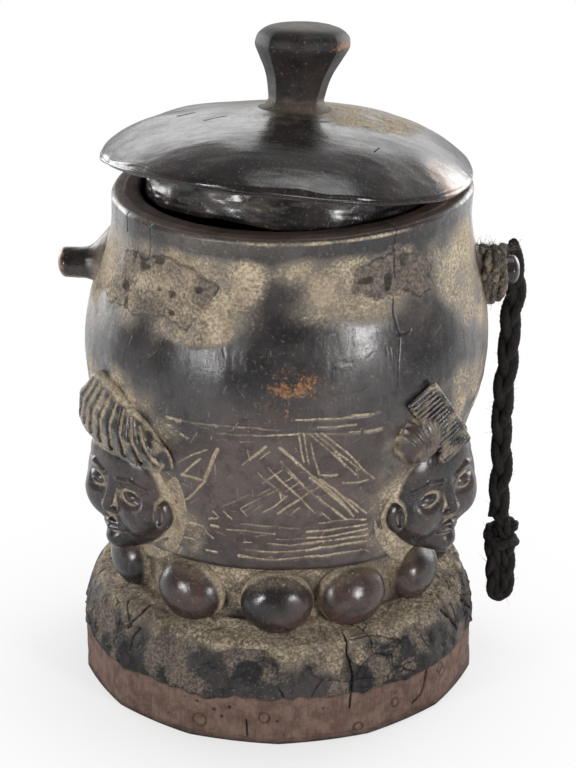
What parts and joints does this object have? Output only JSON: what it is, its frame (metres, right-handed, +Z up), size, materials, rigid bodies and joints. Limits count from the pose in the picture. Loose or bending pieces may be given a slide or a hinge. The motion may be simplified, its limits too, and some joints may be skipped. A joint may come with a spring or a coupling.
{
  "type": "carved mouse oracle vessel",
  "caption": "Carved wooden mouse oracle: two-chamber vessel with lift-off lid, inner board, dish of tied sticks and a hanging cord on a side lug.",
  "frame": {"origin": "centre of the foot's flat underside", "axes": "+Z up through the knob, -Y the front with the incised panel between two carved heads, +X the lug that carries the cord"},
  "size_m": [0.1848, 0.1653, 0.2621],
  "materials": {
    "black_wood": "carved, blackened and polished by handling",
    "lid_wood": "carved, dark and semi-gloss",
    "raw_wood": "adzed, dry and unpolished",
    "dish_wood": "carved, worn smooth",
    "cane": "split cane, dry",
    "dark_fibre": "twisted fibre, matte",
    "dusty_fibre": "encrusted fibre, matte"
  },
  "bodies": {
    "vessel": {"vessel": "black_wood", "lug_binding": "dusty_fibre", "hanging_cord": "dark_fibre", "cord_end": "dark_fibre"},
    "lid": {"lid": "lid_wood"},
    "dish": {"oracle_dish": "dish_wood", "stick_tie_cord": "dark_fibre"},
    "board": {"partition_board": "raw_wood"},
    "stick_01": {"stick_01": "cane"},
    "stick_02": {"stick_02": "cane"},
    "stick_03": {"stick_03": "cane"},
    "stick_04": {"stick_04": "cane"},
    "stick_05": {"stick_05": "cane"},
    "stick_06": {"stick_06": "cane"},
    "stick_07": {"stick_07": "cane"},
    "stick_08": {"stick_08": "cane"},
    "stick_09": {"stick_09": "cane"},
    "stick_10": {"stick_10": "cane"}
  },
  "joints": [
    {"name": "lid_lift", "type": "slide", "parent": "vessel", "child": "lid", "axis": [0, 0, 1], "range_m": [0, 0.26]},
    {"name": "dish_lift", "type": "slide", "parent": "vessel", "child": "dish", "axis": [0, 0, 1], "range_m": [0, 0.182]},
    {"name": "board_lift", "type": "slide", "parent": "vessel", "child": "board", "axis": [0, 0, 1], "range_m": [0, 0.13]},
    {"name": "stick_01_swing", "type": "hinge", "parent": "dish", "child": "stick_01", "pos_m": [-0.0265, -0.0054, 0.1121], "axis": [0, 0, 1], "range_deg": [-2.4, 2.4]},
    {"name": "stick_02_swing", "type": "hinge", "parent": "dish", "child": "stick_02", "pos_m": [-0.0265, -0.0022, 0.1121], "axis": [0, 0, 1], "range_deg": [-2.4, 2.4]},
    {"name": "stick_03_swing", "type": "hinge", "parent": "dish", "child": "stick_03", "pos_m": [-0.0265, 0.001, 0.1121], "axis": [0, 0, 1], "range_deg": [-2.4, 2.4]},
    {"name": "stick_04_swing", "type": "hinge", "parent": "dish", "child": "stick_04", "pos_m": [-0.0265, 0.0042, 0.1121], "axis": [0, 0, 1], "range_deg": [-2.4, 2.4]},
    {"name": "stick_05_swing", "type": "hinge", "parent": "dish", "child": "stick_05", "pos_m": [-0.0265, 0.0074, 0.1121], "axis": [0, 0, 1], "range_deg": [-2.4, 2.4]},
    {"name": "stick_06_swing", "type": "hinge", "parent": "dish", "child": "stick_06", "pos_m": [-0.0265, 0.0106, 0.1121], "axis": [0, 0, 1], "range_deg": [-2.4, 2.4]},
    {"name": "stick_07_swing", "type": "hinge", "parent": "dish", "child": "stick_07", "pos_m": [-0.0265, 0.0138, 0.1121], "axis": [0, 0, 1], "range_deg": [-2.4, 2.4]},
    {"name": "stick_08_swing", "type": "hinge", "parent": "dish", "child": "stick_08", "pos_m": [-0.0265, 0.017, 0.1121], "axis": [0, 0, 1], "range_deg": [-2.4, 2.4]},
    {"name": "stick_09_swing", "type": "hinge", "parent": "dish", "child": "stick_09", "pos_m": [-0.0265, 0.0202, 0.1121], "axis": [0, 0, 1], "range_deg": [-2.4, 2.4]},
    {"name": "stick_10_swing", "type": "hinge", "parent": "dish", "child": "stick_10", "pos_m": [-0.0265, 0.0234, 0.1121], "axis": [0, 0, 1], "range_deg": [-2.4, 2.4]}
  ],
  "couplings": [
    {"joint": "dish_lift", "follows": "lid_lift", "ratio": 0.7},
    {"joint": "board_lift", "follows": "lid_lift", "ratio": 0.5}
  ]
}
